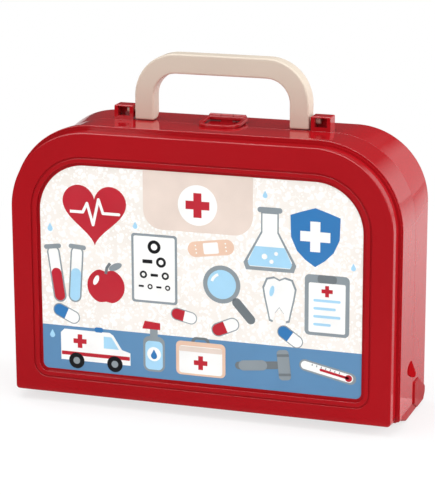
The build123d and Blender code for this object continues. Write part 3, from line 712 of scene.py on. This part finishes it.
def mark_thermometer():
    scale = slab(0, 64, 8.4, 39, 1)
    lines = [slab(2.4, 50 + 3.4 * i, 2.2, 0.7, 0.2) for i in range(9)]
    column = slab(-1.2, 58, 1.6, 24, 0.7)
    face_mark("thermometer", "thermometer_scale", "white", [scale], SCREEN_RECESS, 0.3)
    face_mark("thermometer", "thermometer_lines", "dark", lines, SCREEN_RECESS, 0.45)
    face_mark("thermometer", "thermometer_column", "red", [column], SCREEN_RECESS, 0.5)


def mark_bag():
    rows = [slab(-6, 30 + 5.5 * i, 20, 1.2, 0.5) for i in range(4)]
    gauge_line = slab(13, 40, 1, 30, 0.4)
    face_mark("drip_bag", "bag_label", "white", [slab(0, 40, 40, 40, 5)])
    face_mark("drip_bag", "bag_lines", "blue", [*rows, gauge_line, drop(-6, 53, 9)], thickness=0.4)


def mark_chestpiece():
    face_mark("stethoscope_chestpiece", "chestpiece_plate", "white", [disc(0, 17, 11.5)])
    face_mark("stethoscope_chestpiece", "chestpiece_heart", "red", [heart(0, 17, 12)], thickness=0.4)


def mark_gauge():
    """A dial with nine ticks and a hand."""
    centre = 11
    ticks = [turned(slab(0, 18.3, 0.8, 2.4, 0.3), 30 * i, 0, centre) for i in range(-4, 5)]
    hand = turned(slab(0, 13.4, 1.1, 7.4, 0.5), -38, 0, centre)
    face_mark("cuff_gauge", "gauge_dial", "white", [disc(0, centre, 9.2)])
    face_mark("cuff_gauge", "gauge_ticks", "dark", ticks, thickness=0.4)
    face_mark("cuff_gauge", "gauge_hand", "red", [hand], thickness=0.55)


def jar_band(name, low_z, high_z, reach, color):
    """A paper band round the jar, in mm: heights count from the jar's bottom and reach from its side."""
    low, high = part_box("medicine_jar")
    middle = (low + high) / 2
    radius = (high.x - low.x) / 2 + reach * MM
    mesh = bmesh.new()
    bmesh.ops.create_cone(mesh, segments=96, radius1=radius, radius2=radius, depth=(high_z - low_z) * MM)
    place = (middle.x, middle.y, low.z + (low_z + high_z) / 2 * MM)
    bmesh.ops.translate(mesh, vec=place, verts=mesh.verts)
    data = bpy.data.meshes.new(name)
    mesh.to_mesh(data)
    mesh.free()
    smooth_skin(place_piece(name, data, INKS[color], "case"), thickness=0.2 * MM, offset=INWARDS)


def side_shade_leaves():
    """A small leaf-shaped dark plate on each side of the body, above the corner post of the foot: painted
    shade for the dark patch in the side wall's reflection.
    """
    outline = [(3.3, 48.0), (-1.5, 46.8), (-5.2, 45.2), (-7.4, 42.8), (-6.6, 39.8), (-3.2, 37.6),
               (1.2, 35.4), (6.6, 33.2), (12.0, 31.4), (17.0, 31.0), (18.2, 32.6), (16.6, 35.2),
               (13.6, 38.4), (10.0, 41.6), (6.6, 44.8)]
    thickness = 1.1 * MM
    sunk = 1.6 * MM  # from the body's widest reach, which is at its seam, into its side
    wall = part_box("body_frame")[1].x - sunk
    for name, start in (("shade_leaf_right", wall), ("shade_leaf_left", -wall - thickness)):
        flat_piece(name, [[outline]], start, thickness, leaf_shade_red, "case", "side")


mark_phone()
mark_thermometer()
mark_bag()
mark_chestpiece()
mark_gauge()
jar_band("jar_band", 7, 27, 0.25, "white")
jar_band("jar_stripe", 9, 11, 0.4, "blue")
jar_band("jar_stripe_top", 23, 25, 0.4, "blue")
side_shade_leaves()


# ---------------------------------------------------------------------------- cloth
def folded_path(low_y, high_y, low_z, pitch, layers):
    """Side view of a strip folded back and forth, as points in Y and Z, with a round bend at each fold."""
    bend_steps, run_steps = 6, 7
    path = []
    for layer in range(layers):
        z = low_z + pitch * (layer + 0.4)
        inset = (1.3 + 0.45 * math.sin(2.3 * layer)) * MM
        start, end = low_y + inset, high_y - inset
        if layer % 2:
            start, end = end, start
        path += [(start + (end - start) * step / run_steps, z) for step in range(run_steps + 1)]
        if layer == layers - 1:
            break
        bulge = math.copysign(0.55 * pitch, end - start)
        for step in range(1, bend_steps):
            angle = math.pi * step / bend_steps
            path.append((end + bulge * math.sin(angle), z + pitch / 2 * (1 - math.cos(angle))))
    return path


def make_gauze():
    """A long strip folded back and forth into a flat pad, with wavy edges and slightly sagging layers."""
    low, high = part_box("cloth_bandage")
    edge, top_and_bottom = 0.6 * MM, 1.0 * MM  # room left round the layers
    waviness, slack = 0.25 * MM, 0.16 * MM
    layers, across = 8, 18
    pitch = (high.z - low.z - top_and_bottom) / layers
    path = folded_path(low.y, high.y, low.z + edge, pitch, layers)
    points, faces = [], []
    for row, (y, z) in enumerate(path):
        for i in range(across + 1):
            share = i / across
            wave = waviness * (2 * share - 1) * math.sin(0.9 * row)
            sag = slack * math.sin(9 * share + 0.8 * row) * math.cos(0.35 * row)
            points.append((low.x + edge + (high.x - low.x - 2 * edge) * share + wave, y, z + sag))
    for row in range(len(path) - 1):
        for i in range(across):
            a = row * (across + 1) + i
            faces.append((a, a + 1, a + across + 2, a + across + 1))
    data = bpy.data.meshes.new("folded_gauze")
    data.from_pydata(points, [], faces)
    gauze_pad = place_piece("folded_gauze", data, gauze, "case")
    smooth_skin(gauze_pad, thickness=0.55 * MM, offset=CENTRED)
    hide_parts("cloth_bandage")


def make_plasters():
    """Four woven strips in a loose stack, the top one with its pad and air holes showing."""
    low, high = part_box("plaster_strips")
    x, y = (low.x + high.x) / 2 / MM, (low.y + high.y) / 2 / MM
    turns = (-1.2, 0.9, -0.6, 1.4)  # degrees, from the bottom strip to the top one
    thickness = 0.9 * MM
    for i, angle in enumerate(turns):
        outline = turned(slab(x, y, 57, 17, 8), angle, x, y)
        name = f"plaster_{i + 1}"
        start = low.z + (high.z - low.z) / len(turns) * i
        strip = flat_piece(name, [[outline]], start, thickness, plaster_skin, "case", "top")
        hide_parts("plaster_strips")
        marks = []
        if i == len(turns) - 1:
            pad = [[turned(slab(x, y, 17, 12, 1.5), angle, x, y)]]
            holes = [[turned(disc(x + side, y + rise, 0.5, 12), angle, x, y)]
                     for side in (-21, -17, -13, 13, 17, 21) for rise in (-4, 0, 4)]
            top = start + thickness
            marks = [flat_piece("plaster_pad", pad, top, 0.2 * MM, gauze, "case", "top"),
                     flat_piece("plaster_holes", holes, top, 0.06 * MM, INKS["dark"], "case", "top")]


make_gauze()
make_plasters()


# ---------------------------------------------------------------------------- floor, light, camera
def floor_material():
    """White floor that mostly glows for the camera, with painted shade where the glossy shells mirror it.
    """
    m = Surface("floor_white")
    m.shader.inputs["Roughness"].default_value = 0.9
    m.shader.inputs["Specular IOR Level"].default_value = 0.1
    tint = m.mix(m.noise(3.0), (0.90, 0.90, 0.90, 1), (0.92, 0.92, 0.92, 1))
    m.feed(tint, m.shader.inputs["Base Color"])
    rays = m.add("LightPath").outputs

    # The camera sees the shadows near the case, fading into plain white further out.
    distance = m.add("VectorMath", operation="LENGTH")
    m.feed(m.coordinates, distance.inputs[0])
    fade = m.remap(distance.outputs["Value"], 0.25, 0.75, 0.72, 1.0)
    glow = m.math("MULTIPLY", rays["Is Camera Ray"], fade)
    seen = m.mix_shaders(glow, m.shader.outputs[0], m.emission(1.0))

    # In mirrored rays it is painted dark in front of the lid, and half dark behind the case, less so
    # further back: painted shade in the shells' reflections.
    y = m.axes(m.coordinates)["Y"]
    ahead = m.remap(y, -0.04, -0.085, 0.0, 1.0)
    behind = m.math("MULTIPLY", m.remap(y, 0.08, 0.6, 0.5, 0.12), m.math("GREATER_THAN", y, 0.05))
    dimmed = m.math("MULTIPLY", m.math("MAXIMUM", ahead, behind), rays["Is Glossy Ray"])
    # The dark emission is painted shade, seen only in reflections.
    both = m.mix_shaders(dimmed, seen, m.emission(0.05))
    m.feed(both, m.tree.nodes["Material Output"].inputs["Surface"])
    return m.material


def make_floor():
    reach = 6.0
    mesh = bpy.data.meshes.new("floor")
    corners = [(-reach, -reach, 0), (reach, -reach, 0), (reach, reach, 0), (-reach, reach, 0)]
    mesh.from_pydata(corners, [], [(0, 1, 2, 3)])
    mesh.materials.append(floor_material())
    floor = bpy.data.objects.new("floor", mesh)
    bpy.context.scene.collection.objects.link(floor)


def make_world():
    """White for the camera, soft light for the rest, and its own brightness in mirrored rays.

    The mirrored surroundings are bright overhead and to the right, and dark elsewhere.
    """
    soft_light = 0.62
    world = bpy.data.worlds.new("studio")
    bpy.context.scene.world = world
    world.use_nodes = True
    w = Graph(world.node_tree)
    rays = w.add("LightPath").outputs
    way = w.axes(w.add("TexCoord").outputs["Generated"])
    right = w.remap(way["X"], 0.16, 0.3, 0.08, 0.85)
    overhead = w.remap(way["Z"], 0.42, 0.92, 0.0, 2.4)
    lit = w.mix(rays["Is Glossy Ray"], soft_light, w.math("ADD", right, overhead), "FLOAT")
    seen = w.math("MAXIMUM", rays["Is Camera Ray"], rays["Is Transmission Ray"])
    back = w.tree.nodes["Background"]
    w.feed(w.mix(seen, lit, 1.0, "FLOAT"), back.inputs["Strength"])
    back.inputs["Color"].default_value = STUDIO_WHITE


CASE_MIDDLE = (0, 0, 0.15)


def lamp(name, place, target, size, watts, mirrored=True):
    """A rectangular area lamp that looks at its target, in metres."""
    data = bpy.data.lights.new(name, "AREA")
    data.shape = "RECTANGLE"
    data.size, data.size_y = size
    data.energy = watts
    item = bpy.data.objects.new(name, data)
    bpy.context.scene.collection.objects.link(item)
    item.location = place
    item.rotation_euler = (Vector(target) - Vector(place)).to_track_quat("-Z", "Y").to_euler()
    item.visible_glossy = mirrored


def make_camera():
    """The camera that was fitted to the photograph's straight edges."""
    right = Vector((0.94660, 0.32239, -0.00317))
    up = Vector((-0.07741, 0.23682, 0.96847))
    ahead = Vector((-0.31297, 0.91651, -0.24913))
    place = (0.53643, -1.57031, 0.55669)
    focal_pixels, photo_pixels = 2099.04, 495  # the focal length and the photograph's longer side
    data = bpy.data.cameras.new("camera")
    data.sensor_width = 36.0
    data.lens = focal_pixels * data.sensor_width / photo_pixels
    camera = bpy.data.objects.new("camera", data)
    bpy.context.scene.collection.objects.link(camera)
    camera.matrix_world = Matrix.Translation(place) @ Matrix((right, up, -ahead)).transposed().to_4x4()
    bpy.context.scene.camera = camera


make_floor()
make_world()
lamp("overhead", place=(-0.2, -0.25, 1.7), target=(0, 0, 0.1), size=(2.2, 0.35), watts=14.0)
lamp("front_left", place=(-1.6, -2.2, 1.5), target=CASE_MIDDLE, size=(1.6, 1.6), watts=22.0)
lamp("right", place=(2.2, 0.3, 0.9), target=CASE_MIDDLE, size=(1.2, 1.4), watts=31.0, mirrored=False)
lamp("right_edge", place=(2.0, -0.9, 0.9), target=CASE_MIDDLE, size=(0.25, 1.6), watts=6.0)
make_camera()
bpy.context.scene.view_settings.view_transform = "Standard"
